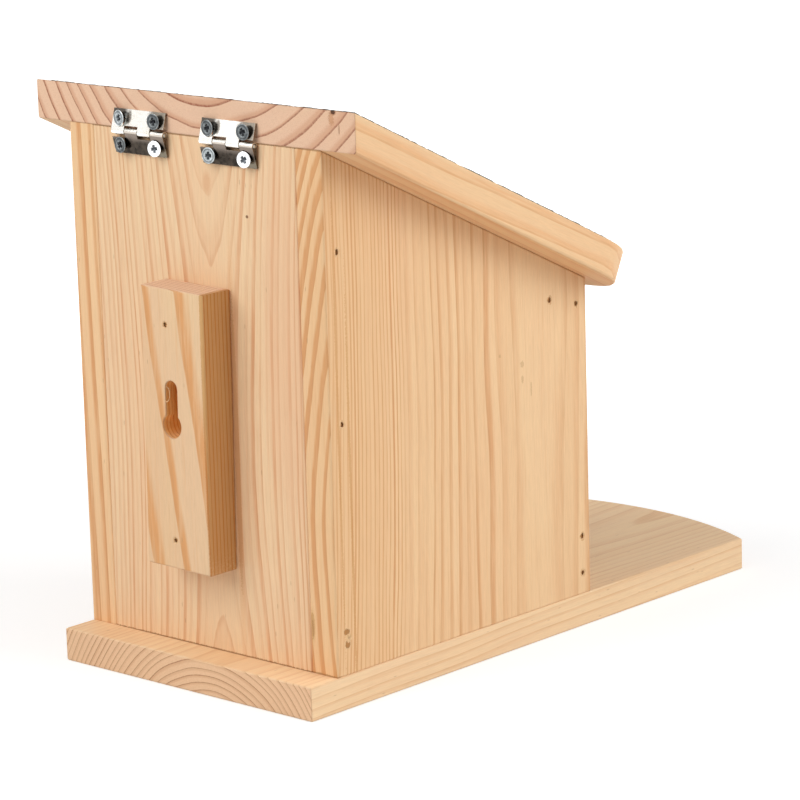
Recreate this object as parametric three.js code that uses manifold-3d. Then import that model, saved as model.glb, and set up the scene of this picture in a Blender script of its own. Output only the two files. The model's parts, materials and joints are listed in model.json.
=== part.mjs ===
// Squirrel feeder box: a pine hopper on a long feeding platform, with a hinged sloping lid
// and a keyhole hanging block on its back.
// Millimetres. X runs across the box, -Y points out over the platform, Z is up.
// The part stands on its floor board, with the origin in the middle of its footprint.
// Left is -X and right is +X, as seen from the platform's end.

import * as THREE from "three";
import { mergeVertices } from "three/addons/utils/BufferGeometryUtils.js";
import Module from "manifold-3d";

const wasm = await Module();
wasm.setup();

// Boards
const stock = 12; // planed thickness of every board
const edgeEase = 0.4; // sanding on the boards' edges
const seatGap = 0.3; // what a tilted piece keeps to the piece that carries it
const overrun = 2; // how far a cutter runs past what it cuts

// Box
const bodyWidth = 120;
const bodyDepth = 134.5;
const backHeight = 180; // from the floor board up to the lid, at the back
const roofPitch = THREE.MathUtils.degToRad(25.5);

// Floor board and platform
const rearLedge = 13.35; // behind the back board
const platformReach = 90.7; // straight sides ahead of the box
const platformBow = 14.6; // how far the curved front edge bulges

// Front
const sillHeight = 28;
const railDepth = 28;
const paneThickness = 2;
const paneGap = 0.3; // round the pane in its grooves
const grooveDepth = 3;

// Lid
const roofOverhang = 15.7; // past each side of the box
const roofReach = 166; // down the slope, from the back edge to the front
const roofBow = 7.2;
const roofCorner = 25; // radius of the two front corners
const feltThickness = 0.8;
const feltInset = 3; // from the edges of the roof board

// Hanging block and its keyhole
const blockWidth = 30;
const blockHeight = 98;
const blockRiseShare = 0.4456; // height of its middle up the back board
const blockTilt = THREE.MathUtils.degToRad(1);
const keyholeWidth = 5.9;
const keyholeMouth = 8.9; // diameter of the round mouth
const keyholeRise = 12.9; // from the mouth's centre to the slot's end centre
const keyholeOffset = 1.4; // from the block's middle line
const mouthRise = 1.5; // of the mouth's centre above the block's middle
const lipThickness = 4.4;
const keyholeWeb = 2.5; // wood left behind the keyhole

// Hinges
const hingeShares = { left: -0.157, right: 0.197 }; // places across the body width
const hingeWidth = 25;
const leafReach = 7.5; // from the pin to a leaf's outer edge
const leafThickness = 0.7;
const knuckleRadius = 1.3;
const knuckleCount = 4;
const knuckleGap = 0.3; // between neighbouring knuckles
const slotGap = 0.8; // past a knuckle, in the other leaf's slot
const pinRadius = 0.75;
const pinGap = 0.2; // round the pin in its knuckles
const pinProud = 0.4; // of each end past the leaves
const hingeDrop = 0.9; // of the pin below the seam under the lid

// Hinge screws
const screwSpread = 16.5; // between the two screws of a leaf
const screwReach = 4.65; // from the pin to a screw
const screwHeadRadius = 2.8;
const screwRadius = 1.15;
const screwRim = 0.4; // thickness of the head's rim
const screwProud = 1.5; // of the head above the leaf
const screwCone = 1.5; // depth of the head's tapered underside
const screwBiteShare = 0.6; // of the board's thickness that a screw goes into
const screwPoint = 1.6;
const recessReach = 1.55; // of the cross recess from the head's centre
const recessWidth = 0.7;
const recessDepth = 0.9;

// Nails and tacks
const nailRadius = 0.6;
const nailHeadRadius = 0.9;
const nailHead = 0.7; // thickness of a nail's head
const nailSink = 0.6; // of the head below the wood
const nailBite = 13; // into the second board
const blockBiteShare = 0.55; // of the back board that the block's nails go into
const tackHeadRadius = 2.4;
const tackHead = 0.5;
const tackRadius = 0.7;
const tackBiteShare = 0.6; // of the roof board's thickness
const tackInset = 12; // from the roof board's side edges
const nailPoint = 1.2;
const boreGap = 0.3; // round a nail or screw in its hole

// Places of the nails as shares: of the back board's height, of the rail's depth and thickness,
// of the sill's thickness and height, and of the block's width and height from its middle
const backNailShares = { high: 0.807, middle: 0.483, low: 0.072 };
const railNailShares = { rear: [0.72, 0.6], front: [0.2, 0.3] };
const sillNailShares = { high: [0.36, 0.77], low: [0.36, 0.28] };
const blockNailShares = { top: [0.115, 0.373], bottom: [0.043, -0.397] };
const floorNailShares = { rear: 0.2, front: 0.8, back: 0.25 };
const feltTackShares = { rear: 0.05, middle: 0.46, front: 0.86 };

// Hand-driven screws lean a little: degrees towards +X for each hinge, leaf and end
const screwLeans = {
  left: { upper: { inner: 3, outer: -4 }, lower: { inner: -6, outer: -8 } },
  right: { upper: { inner: -3, outer: 9 }, lower: { inner: -8, outer: 3 } },
};

// Curve steps
const bowSteps = 28;
const cornerSteps = 6;
const mouthSteps = 20;
const knuckleSteps = 16;
const nailSteps = 8;
const tackSteps = 16;
const screwSteps = 20;

// Places that follow from the sizes above
const halfBody = bodyWidth / 2;
const innerWidth = bodyWidth - 2 * stock;
const pitchSlope = Math.tan(roofPitch);
const frontHeight = backHeight - bodyDepth * pitchSlope;
const seamHeight = stock + backHeight;
const floorLength = rearLedge + bodyDepth + platformReach + platformBow;
const railTop = stock + frontHeight;
const paneFront = -bodyDepth + stock + paneGap;
const halfRoof = halfBody + roofOverhang;
const roofTop = seatGap + stock;
const blockDepth = rearLedge - seatGap;
const pinOut = knuckleRadius + boreGap;

// Finishes
const finishes = {
  pine: new THREE.MeshStandardMaterial({ color: 0xe6c197, roughness: 0.62, metalness: 0 }),
  felt: new THREE.MeshStandardMaterial({ color: 0x35332f, roughness: 0.95, metalness: 0 }),
  acrylic: new THREE.MeshStandardMaterial({
    color: 0xeef4f4, roughness: 0.08, metalness: 0, transparent: true, opacity: 0.3,
  }),
  nickel: new THREE.MeshStandardMaterial({ color: 0xcfccc4, roughness: 0.22, metalness: 1 }),
  zinc: new THREE.MeshStandardMaterial({ color: 0xb4bcc2, roughness: 0.38, metalness: 1 }),
  steel: new THREE.MeshStandardMaterial({ color: 0x8c7a66, roughness: 0.5, metalness: 1 }),
};

// A closed geometry as a solid that can be cut
function solidOf(geometry) {
  const bare = geometry.clone();
  bare.deleteAttribute("normal");
  bare.deleteAttribute("uv");
  const merged = mergeVertices(bare);
  const vertProperties = new Float32Array(merged.attributes.position.array);
  const triVerts = new Uint32Array(merged.index.array);
  return new wasm.Manifold(new wasm.Mesh({ numProp: 3, vertProperties, triVerts }));
}

function geometryOf(solid) {
  const { vertProperties, triVerts } = solid.getMesh();
  const geometry = new THREE.BufferGeometry();
  geometry.setAttribute("position", new THREE.BufferAttribute(vertProperties, 3));
  geometry.setIndex(new THREE.BufferAttribute(triVerts, 1));
  geometry.computeVertexNormals();
  return geometry;
}

function cutAway(geometry, cutters) {
  return geometryOf(cutters.reduce((blank, cutter) => blank.subtract(solidOf(cutter)), solidOf(geometry)));
}

function point(x, y) {
  return new THREE.Vector2(x, y);
}

// Points on an arc from one angle to another, both ends included
function arcPoints(centreX, centreY, radius, from, to, steps) {
  return Array.from({ length: steps + 1 }, (_, i) => {
    const angle = from + ((to - from) * i) / steps;
    return point(centreX + radius * Math.cos(angle), centreY + radius * Math.sin(angle));
  });
}

// A plate with this outline in X and Y, standing on Z = 0, with sanded edges when ease is given
function plate(outline, thickness, ease = 0, holes = []) {
  const shape = new THREE.Shape(outline);
  shape.holes = holes.map((hole) => new THREE.Path(hole));
  const geometry = new THREE.ExtrudeGeometry(shape, {
    depth: thickness - 2 * ease,
    bevelEnabled: ease > 0,
    bevelThickness: ease,
    bevelSize: ease,
    bevelOffset: -ease,
    bevelSegments: 1,
  });
  return geometry.translate(0, 0, ease);
}

// A bar with this outline in Y and Z, centred on X
function bar(outline, length, ease = 0, holes = []) {
  const acrossX = new THREE.Matrix4().makeBasis(
    new THREE.Vector3(0, 1, 0), new THREE.Vector3(0, 0, 1), new THREE.Vector3(1, 0, 0),
  );
  return plate(outline, length, ease, holes).translate(0, 0, -length / 2).applyMatrix4(acrossX);
}

function box(sizeX, sizeY, sizeZ, x, y, z) {
  return new THREE.BoxGeometry(sizeX, sizeY, sizeZ).translate(x, y, z);
}

// Corners of a rectangle in a bar's Y and Z
function rectangle(lowY, highY, lowZ, highZ) {
  return [point(lowY, lowZ), point(highY, lowZ), point(highY, highZ), point(lowY, highZ)];
}

// A turned piece: [radius, height] pairs from its lower end on the axis to its upper end on the axis
function turned(profile, steps) {
  return new THREE.LatheGeometry(profile.map(([radius, height]) => point(radius, height)), steps);
}

const bores = new Map();

function piece(group, name, geometry, finish) {
  const mesh = new THREE.Mesh(geometry, finishes[finish].clone());
  mesh.name = name;
  group.add(mesh);
  return mesh;
}

// A nail, tack or screw driven with its head facing outward, and its hole in each board it passes
function drive(group, name, form, finish, place, outward, boards) {
  const fastener = piece(group, name, form(0), finish);
  fastener.position.copy(place);
  fastener.quaternion.setFromUnitVectors(new THREE.Vector3(0, 1, 0), outward.clone().normalize());
  for (const board of boards) {
    bores.set(board, [...(bores.get(board) ?? []), { fastener, hole: form(boreGap) }]);
  }
}

function drillBoards(part) {
  part.updateMatrixWorld(true);
  for (const [board, holes] of bores) {
    const toBoard = board.matrixWorld.clone().invert();
    const cutters = holes.map(({ fastener, hole }) => (
      hole.applyMatrix4(toBoard.clone().multiply(fastener.matrixWorld))
    ));
    board.geometry = cutAway(board.geometry, cutters);
  }
}

// A thin nail, its head sunk below the wood; gap widens it into its own hole
function nail(length, gap) {
  const mouth = gap > 0 ? overrun : 0;
  return turned([
    [0, -length - gap],
    [nailRadius + gap, nailPoint - length],
    [nailRadius + gap, -nailSink - nailHead - gap],
    [nailHeadRadius + gap, -nailSink - nailHead - gap],
    [nailHeadRadius + gap, -nailSink + mouth],
    [0, -nailSink + mouth],
  ], nailSteps);
}

// A felt tack, its flat head just above the felt, or its hole when there is a gap
function tack(length, gap) {
  const top = seatGap + tackHead;
  const shaft = [[0, -length - gap], [tackRadius + gap, nailPoint - length]];
  const head = gap > 0
    ? [[tackRadius + gap, top]]
    : [[tackRadius, seatGap], [tackHeadRadius, seatGap], [tackHeadRadius, top]];
  return turned([...shaft, ...head, [0, top]], tackSteps);
}

// A countersunk screw that stands proud, measured from the outer face of its leaf
function screw(length, gap) {
  const rimLow = screwProud - screwRim;
  const body = turned([
    [0, -length - gap],
    [screwRadius + gap, screwPoint - length],
    [screwRadius + gap, rimLow - screwCone - gap],
    [screwHeadRadius + gap, rimLow - gap],
    [screwHeadRadius + gap, screwProud],
    [0, screwProud],
  ], screwSteps);
  if (gap > 0) return body;
  const bars = [0, Math.PI / 2].map((turn) => (
    box(2 * recessReach, recessDepth + overrun, recessWidth, 0, screwProud + (overrun - recessDepth) / 2, 0)
      .rotateY(turn)
  ));
  return cutAway(body, bars);
}

// The curved front edge between two points on the sides, bulging towards -Y
function bowedFront(halfWidth, sideY, bow) {
  const radius = (halfWidth ** 2 + bow ** 2) / (2 * bow);
  const spread = Math.asin(halfWidth / radius);
  return arcPoints(0, sideY - bow + radius, radius, -Math.PI / 2 - spread, -Math.PI / 2 + spread, bowSteps);
}

function floorBoard() {
  const front = bowedFront(halfBody, -bodyDepth - platformReach, platformBow);
  return plate([...front, point(halfBody, rearLedge), point(-halfBody, rearLedge)], stock, edgeEase);
}

// A side seen from +X: square at the back, cut to the pitch on top, grooved inside for the pane
function sideBoard(inward) {
  const outline = [
    point(0, stock), point(0, seamHeight), point(-bodyDepth, railTop), point(-bodyDepth, stock),
  ];
  const grooveWidth = paneThickness + 2 * paneGap;
  const grooveHeight = railTop - 2 * stock;
  const groove = box(
    2 * grooveDepth, grooveWidth, grooveHeight + overrun,
    (inward * stock) / 2, paneFront + paneThickness / 2, stock + (grooveHeight - overrun) / 2,
  );
  return cutAway(bar(outline, stock, edgeEase), [groove]);
}

function backBoard() {
  const outline = [
    point(0, stock), point(0, seamHeight),
    point(-stock, seamHeight - stock * pitchSlope), point(-stock, stock),
  ];
  return bar(outline, innerWidth, edgeEase);
}

function frontSill() {
  return bar(rectangle(-bodyDepth, -bodyDepth + stock, stock, stock + sillHeight), innerWidth, edgeEase);
}

function topRail() {
  return bar(rectangle(-bodyDepth, -bodyDepth + railDepth, railTop - stock, railTop), innerWidth, edgeEase);
}

function clearPane() {
  const outline = rectangle(
    paneFront, paneFront + paneThickness, stock + paneGap, railTop - stock - paneGap,
  );
  return bar(outline, innerWidth + 2 * (grooveDepth - paneGap));
}

// The roof's outline seen square to the slope, from rearY down to the bowed front, drawn in by inset
function roofOutline(rearY, inset) {
  const halfWidth = halfRoof - inset;
  const corner = roofCorner - inset;
  const radius = (halfRoof ** 2 + roofBow ** 2) / (2 * roofBow) - inset;
  const centreY = inset - roofReach + radius;
  const cornerX = halfWidth - corner;
  const cornerY = centreY - Math.sqrt((radius - corner) ** 2 - cornerX ** 2);
  const spread = Math.asin(cornerX / (radius - corner));
  const down = -Math.PI / 2;
  return [
    point(-halfWidth, rearY),
    ...arcPoints(-cornerX, cornerY, corner, -Math.PI, down - spread, cornerSteps),
    ...arcPoints(0, centreY, radius, down - spread, down + spread, cornerSteps).slice(1, -1),
    ...arcPoints(cornerX, cornerY, corner, down + spread, 0, cornerSteps),
    point(halfWidth, rearY),
  ];
}

// The roof board in the lid's sloping frame, its back end cut plumb with the back of the box
function roofBoard() {
  const rearY = roofTop * pitchSlope;
  const blank = plate(roofOutline(rearY + overrun, 0), stock, edgeEase).translate(0, 0, seatGap);
  const low = -overrun;
  const high = roofTop + overrun;
  const behind = rearY + 2 * overrun;
  const plumbCut = bar([
    point(low * pitchSlope, low), point(behind, low),
    point(behind, high), point(high * pitchSlope, high),
  ], 2 * (halfRoof + overrun));
  return cutAway(blank, [plumbCut]);
}

function roofSheet() {
  const rearY = roofTop * pitchSlope - feltInset;
  return plate(roofOutline(rearY, feltInset), feltThickness).translate(0, 0, roofTop + seatGap);
}

// The block in its own frame: its middle on the back board, Y pointing out of the board
function hangingBlock() {
  const outline = [
    point(-blockWidth / 2, -blockHeight / 2), point(blockWidth / 2, -blockHeight / 2),
    point(blockWidth / 2, blockHeight / 2), point(-blockWidth / 2, blockHeight / 2),
  ];
  const upright = (geometry, front) => geometry.rotateX(Math.PI / 2).translate(0, front, 0);
  const front = seatGap + blockDepth;
  const depth = blockDepth - keyholeWeb;
  const slotOutline = (width) => [
    ...arcPoints(keyholeOffset, mouthRise + keyholeRise, width / 2, 0, Math.PI, mouthSteps / 2),
    point(keyholeOffset - width / 2, mouthRise), point(keyholeOffset + width / 2, mouthRise),
  ];
  const mouth = arcPoints(keyholeOffset, mouthRise, keyholeMouth / 2, 0, 2 * Math.PI, mouthSteps).slice(1);
  return cutAway(upright(plate(outline, blockDepth, edgeEase), front), [
    upright(plate(mouth, depth + overrun), front + overrun),
    upright(plate(slotOutline(keyholeWidth), depth + overrun), front + overrun),
    upright(plate(slotOutline(keyholeMouth), depth - lipThickness), front - lipThickness),
  ]);
}

// How far a leaf leans from the wood, from its edge on the board out over the pin
function leafLean() {
  const out = pinOut - boreGap / 2;
  const inner = knuckleRadius - leafThickness;
  return Math.atan2(out, leafReach) + Math.asin(inner / Math.hypot(leafReach, out));
}

// A leaf in section, its knuckle rolled round the pin at the origin; side is 1 for the upper leaf
function leafSection(side) {
  const lean = leafLean();
  const inner = knuckleRadius - leafThickness;
  const reach = (leafReach - inner * Math.sin(lean)) / Math.cos(lean);
  const onLeaf = (out, along) => point(
    out * Math.cos(lean) - along * Math.sin(lean), out * Math.sin(lean) + along * Math.cos(lean),
  );
  const join = Math.acos(inner / knuckleRadius);
  const outline = [
    onLeaf(knuckleRadius, reach),
    ...arcPoints(0, 0, knuckleRadius, lean, lean + join - 2 * Math.PI, knuckleSteps),
    onLeaf(inner, reach),
  ];
  return outline.map(({ x, y }) => point(x, side * y));
}

// One leaf, slotted where the other leaf's knuckles sit
function hingeLeaf(side) {
  const bore = arcPoints(0, 0, pinRadius + pinGap, 0, 2 * Math.PI, knuckleSteps).slice(1);
  const knuckleWidth = hingeWidth / knuckleCount;
  const slots = [];
  for (let i = side > 0 ? 1 : 0; i < knuckleCount; i += 2) {
    const outerEnd = i === 0 ? overrun : knuckleGap / 2;
    const innerEnd = i === knuckleCount - 1 ? overrun : knuckleGap / 2;
    const high = hingeWidth / 2 - i * knuckleWidth + outerEnd;
    const low = hingeWidth / 2 - (i + 1) * knuckleWidth - innerEnd;
    const top = knuckleRadius + slotGap;
    const bottom = -knuckleRadius - overrun;
    slots.push(box(
      high - low, 2 * (knuckleRadius + overrun), top - bottom,
      (high + low) / 2, 0, (side * (top + bottom)) / 2,
    ));
  }
  return cutAway(bar(leafSection(side), hingeWidth, 0, [bore]), slots);
}

function hingePin() {
  const half = hingeWidth / 2 + pinProud;
  const chamfer = pinProud / 2;
  return turned([
    [0, -half], [pinRadius - chamfer, -half], [pinRadius, chamfer - half],
    [pinRadius, half - chamfer], [pinRadius - chamfer, half], [0, half],
  ], knuckleSteps).rotateZ(Math.PI / 2);
}

// One butt hinge across the seam, with its two leaves, pin and four screws
function addHinge(feeder, place, roof, back) {
  const hinge = new THREE.Group();
  hinge.position.set(hingeShares[place] * bodyWidth, pinOut, seamHeight - hingeDrop);
  feeder.add(hinge);
  piece(hinge, `hinge_pin_${place}`, hingePin(), "nickel");
  for (const [leaf, side, board] of [["upper", 1, roof], ["lower", -1, back]]) {
    const leafMesh = piece(hinge, `hinge_leaf_${leaf}_${place}`, hingeLeaf(side), "nickel");
    const lean = leafLean();
    const seatY = (knuckleRadius - screwReach * Math.sin(lean)) / Math.cos(lean);
    for (const [end, sign] of [["inner", -1], ["outer", 1]]) {
      const seatX = (sign * Math.sign(hingeShares[place]) * screwSpread) / 2;
      const seat = new THREE.Vector3(seatX, seatY, side * screwReach);
      const tilt = THREE.MathUtils.degToRad(screwLeans[place][leaf][end]);
      const outward = new THREE.Vector3(Math.sin(tilt), Math.cos(tilt), 0);
      const form = (gap) => screw(stock * screwBiteShare, gap);
      drive(hinge, `screw_${leaf}_${end}_${place}`, form, "zinc", seat, outward, [leafMesh, board]);
    }
  }
}

// Where nails pass through a side into another board: [name, y, z, board]
function sideNailPlaces(boards) {
  const places = [];
  for (const [place, share] of Object.entries(backNailShares)) {
    places.push([`back_${place}`, -stock / 2, stock + backHeight * share, boards.back]);
  }
  for (const [place, [along, across]] of Object.entries(railNailShares)) {
    const railUnder = railTop - stock;
    places.push([`rail_${place}`, -bodyDepth + railDepth * along, railUnder + stock * across, boards.rail]);
  }
  for (const [place, [along, up]] of Object.entries(sillNailShares)) {
    places.push([`sill_${place}`, -bodyDepth + stock * along, stock + sillHeight * up, boards.sill]);
  }
  return places;
}

function addSideNails(feeder, boards) {
  const form = (gap) => nail(stock + nailBite, gap);
  for (const [sideName, sign] of [["left", -1], ["right", 1]]) {
    for (const [place, y, z, into] of sideNailPlaces(boards)) {
      const at = new THREE.Vector3(sign * halfBody, y, z);
      const outward = new THREE.Vector3(sign, 0, 0);
      drive(feeder, `nail_${sideName}_${place}`, form, "steel", at, outward, [boards[sideName], into]);
    }
  }
}

// Nails driven up through the floor board into the sides, the back board and the sill
function addFloorNails(feeder, boards) {
  const form = (gap) => nail(stock + nailBite, gap);
  const down = new THREE.Vector3(0, 0, -1);
  const driveUp = (place, x, y, into) => {
    const at = new THREE.Vector3(x, y, 0);
    drive(feeder, `floor_nail_${place}`, form, "steel", at, down, [boards.floor, into]);
  };
  for (const [sideName, sign] of [["left", -1], ["right", 1]]) {
    for (const place of ["rear", "front"]) {
      const x = (sign * (bodyWidth - stock)) / 2;
      driveUp(`${sideName}_${place}`, x, -bodyDepth * floorNailShares[place], boards[sideName]);
    }
    driveUp(`back_${sideName}`, sign * innerWidth * floorNailShares.back, -stock / 2, boards.back);
  }
  driveUp("sill", 0, -bodyDepth + stock / 2, boards.sill);
}

// The hanging block, tilted a little as it is nailed on, with its two nails
function addHangingBlock(feeder, back) {
  const holder = new THREE.Group();
  holder.position.set(0, 0, stock + backHeight * blockRiseShare);
  holder.rotation.y = -blockTilt;
  feeder.add(holder);
  const block = piece(holder, "hanging_block", hangingBlock(), "pine");
  const form = (gap) => nail(blockDepth + seatGap + stock * blockBiteShare, gap);
  for (const [place, [shareX, shareZ]] of Object.entries(blockNailShares)) {
    const at = new THREE.Vector3(blockWidth * shareX, seatGap + blockDepth, blockHeight * shareZ);
    drive(holder, `block_nail_${place}`, form, "steel", at, new THREE.Vector3(0, 1, 0), [block, back]);
  }
}

// The lid's boards in a frame that slopes with the roof, hinged at the back edge
function addLid(feeder) {
  const lid = new THREE.Group();
  lid.position.set(0, 0, seamHeight);
  lid.rotation.x = roofPitch;
  feeder.add(lid);
  const roof = piece(lid, "roof_board", roofBoard(), "pine");
  const felt = piece(lid, "roof_felt", roofSheet(), "felt");
  const form = (gap) => tack(seatGap + feltThickness + stock * tackBiteShare, gap);
  const feltTop = roofTop + seatGap + feltThickness;
  const outward = new THREE.Vector3(0, 0, 1);
  for (const [row, share] of Object.entries(feltTackShares)) {
    for (const [sideName, sign] of [["left", -1], ["right", 1]]) {
      const at = new THREE.Vector3(sign * (halfRoof - tackInset), -roofReach * share, feltTop);
      drive(lid, `felt_tack_${sideName}_${row}`, form, "zinc", at, outward, [felt, roof]);
    }
  }
  return roof;
}

function squirrelFeeder() {
  const feeder = new THREE.Group();
  feeder.position.y = floorLength / 2 - rearLedge;
  const floor = piece(feeder, "floor_board", floorBoard(), "pine");
  const back = piece(feeder, "back_board", backBoard(), "pine");
  const left = piece(feeder, "left_side", sideBoard(1), "pine");
  left.position.x = (stock - bodyWidth) / 2;
  const right = piece(feeder, "right_side", sideBoard(-1), "pine");
  right.position.x = -left.position.x;
  const sill = piece(feeder, "front_sill", frontSill(), "pine");
  const rail = piece(feeder, "top_rail", topRail(), "pine");
  piece(feeder, "clear_pane", clearPane(), "acrylic");
  const boards = { floor, back, left, right, sill, rail };
  addSideNails(feeder, boards);
  addFloorNails(feeder, boards);
  addHangingBlock(feeder, back);
  const roof = addLid(feeder);
  for (const place of Object.keys(hingeShares)) addHinge(feeder, place, roof, back);
  return feeder;
}

const part = new THREE.Group();
part.add(squirrelFeeder());
drillBoards(part);

export default part;
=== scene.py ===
"""Squirrel feeder box: the looks of its pine boards, felted lid, hinges, screws and nails.

Metres, in the part's own frame: X runs across the box, -Y points out over the platform, Z is up.
Left is -X and right is +X. Grain sizes inside the materials are in millimetres.
"""

import json
import random
from math import asin, cos, exp, hypot, pi, radians, sin, sqrt, tan

import bmesh
import bpy
from mathutils import Matrix, Vector, noise

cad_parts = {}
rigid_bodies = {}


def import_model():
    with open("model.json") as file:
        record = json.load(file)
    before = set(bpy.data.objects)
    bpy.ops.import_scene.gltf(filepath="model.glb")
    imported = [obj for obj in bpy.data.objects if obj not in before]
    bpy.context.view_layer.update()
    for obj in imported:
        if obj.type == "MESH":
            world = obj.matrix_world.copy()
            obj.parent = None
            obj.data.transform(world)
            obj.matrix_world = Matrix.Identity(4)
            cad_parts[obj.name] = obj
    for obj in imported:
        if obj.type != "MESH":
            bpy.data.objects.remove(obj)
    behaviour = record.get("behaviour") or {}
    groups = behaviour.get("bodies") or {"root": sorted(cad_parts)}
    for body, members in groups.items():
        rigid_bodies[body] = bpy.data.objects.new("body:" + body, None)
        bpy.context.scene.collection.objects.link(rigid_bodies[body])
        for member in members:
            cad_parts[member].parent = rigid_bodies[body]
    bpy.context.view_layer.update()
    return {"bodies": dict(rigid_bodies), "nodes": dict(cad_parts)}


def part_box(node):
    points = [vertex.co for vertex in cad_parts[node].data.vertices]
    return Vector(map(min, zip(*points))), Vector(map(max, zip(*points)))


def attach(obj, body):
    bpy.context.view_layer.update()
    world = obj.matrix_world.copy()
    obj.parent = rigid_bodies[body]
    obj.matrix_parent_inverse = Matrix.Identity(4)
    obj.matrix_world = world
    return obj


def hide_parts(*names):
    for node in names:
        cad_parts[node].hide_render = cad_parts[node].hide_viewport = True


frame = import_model()
scene = bpy.context.scene

MM = 0.001
QUARTER = pi / 2

# Camera, set up as the photograph was taken
CAMERA_TURN = radians(222.457)
CAMERA_RISE = radians(12.888)
CAMERA_ROLL = radians(-1.639)
CAMERA_DISTANCE = 1.3264
CAMERA_LENS = 167.94
AIM = Vector((0, 0.044655, 0.10286))
AIM_SHIFT = (0.02149, -0.01551)

# Soft lights, as (name, turn, rise, size, power); turn 0 is over the platform, 90 is on the right
LIGHTS = (("rear_light", 163, 35, 1.3, 16.4), ("side_light", 292, 27, 1.3, 16.8), ("top_light", 225, 76, 1.4, 4.2))
LIGHT_AIM = Vector((0, 0, 0.1))
LIGHT_DISTANCE = 1.6
AMBIENT = 0.24

# Where the boards of the box meet its back, from the part's own sizes
BACK_FACE = 0.113225
BLOCK_FACE = BACK_FACE + 0.01335
SEAM = 0.192
ROOF_PITCH = radians(25.5)
KNUCKLE_RADIUS = 0.0013
SCREW_REACH = 0.00465  # from a hinge's pin to its screws

# In millimetres: the left side's face, then the roof board, with its top above the seam square to the slope, half
# its width, its length down the slope, the bow of its front edge and the radius of its front corners
LEFT_FACE = -60
ROOF_TOP, ROOF_HALF, ROOF_REACH, ROOF_BOW, ROOF_CORNER = 12.3, 75.7, 166, 7.2, 25

# The solids keep 0.3 mm under the roof board and between the back and the hanging block. Points of the two that
# are this near to what carries them are let down onto it
SEAT_REACH = 0.0004
SEAT_DROP = 0.00027


# Node trees

NUMBER, VECTOR, COLOUR = "NodeSocketFloat", "NodeSocketVector", "NodeSocketColor"


def spaced(name):
    """A socket's name, from a word that has underscores for its spaces"""
    return name.replace("_", " ")


class Nodes:
    """A node tree with short ways to add to it; values are sockets or plain numbers, vectors and colours"""

    def __init__(self, tree):
        self.tree = tree

    def wire(self, socket, value):
        """Links a socket to another one, or writes a plain value on it"""
        if isinstance(value, bpy.types.NodeSocket):
            self.tree.links.new(value, socket)
        else:
            socket.default_value = (*value, 1) if socket.type == "RGBA" and len(value) == 3 else value

    def add(self, kind, inputs=None, **settings):
        node = self.tree.nodes.new(kind)
        for name, value in settings.items():
            setattr(node, name, value)
        for name, value in (inputs or {}).items():
            self.wire(node.inputs[name], value)
        return node

    def place(self, group, **values):
        """Places one of the shared groups, with values for its sockets"""
        node = self.add("ShaderNodeGroup", node_tree=GROUPS[group])
        for name, value in values.items():
            self.wire(node.inputs[spaced(name)], value)
        return node.outputs

    def here(self):
        """The place on the part"""
        return self.add("ShaderNodeTexCoord").outputs["Object"]

    def facing(self):
        """The way that the surface faces"""
        return self.add("ShaderNodeTexCoord").outputs["Normal"]

    def split(self, vector):
        return self.add("ShaderNodeSeparateXYZ", {0: vector}).outputs

    def split_colour(self, colour):
        return self.add("ShaderNodeSeparateColor", {0: colour}).outputs

    def sum(self, operation, *values, clamp=False):
        return self.add("ShaderNodeMath", dict(enumerate(values)), operation=operation, use_clamp=clamp).outputs[0]

    def plus(self, first, second):
        return self.sum("ADD", first, second)

    def minus(self, first, second):
        return self.sum("SUBTRACT", first, second)

    def times(self, first, *others):
        for other in others:
            first = self.sum("MULTIPLY", first, other)
        return first

    def times_plus(self, first, second, third):
        return self.sum("MULTIPLY_ADD", first, second, third)

    def vector(self, operation, *values):
        """Sums with vectors; a length, a distance or a dot product comes out as one value"""
        node = self.add("ShaderNodeVectorMath", dict(enumerate(values)), operation=operation)
        return node.outputs["Value" if operation in ("LENGTH", "DISTANCE", "DOT_PRODUCT") else "Vector"]

    def scaled(self, vector, scale):
        return self.add("ShaderNodeVectorMath", {0: vector, "Scale": scale}, operation="SCALE").outputs[0]

    def spread(self, value, low, high, to_low=0, to_high=1, kind="SMOOTHSTEP"):
        """Maps a value between two levels softly onto two others, and holds it there"""
        return self.add("ShaderNodeMapRange", {
            "Value": value, "From Min": low, "From Max": high, "To Min": to_low, "To Max": to_high,
        }, interpolation_type=kind).outputs["Result"]

    def ramp(self, value, low, high, to_low, to_high):
        """Maps a value as spread does, in a straight line"""
        return self.spread(value, low, high, to_low, to_high, "LINEAR")

    def blend(self, share, first, second, way="MIX"):
        """Mixes two colours by a share"""
        return self.add("ShaderNodeMix", {0: share, 6: first, 7: second}, data_type="RGBA",
                        blend_type=way).outputs[2]

    def between(self, share, first, second):
        """Mixes two values by a share"""
        return self.add("ShaderNodeMix", {0: share, 2: first, 3: second}, data_type="FLOAT").outputs[0]

    def noise(self, place, scale, detail=2, rough=0.5, stretch=None, out="Fac"):
        """Soft noise; stretch holds the shares by which the place is scaled before it"""
        spot = self.vector("MULTIPLY", place, stretch) if stretch else place
        return self.add("ShaderNodeTexNoise", {
            "Vector": spot, "Scale": scale, "Detail": detail, "Roughness": rough,
        }).outputs[out]


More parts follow.
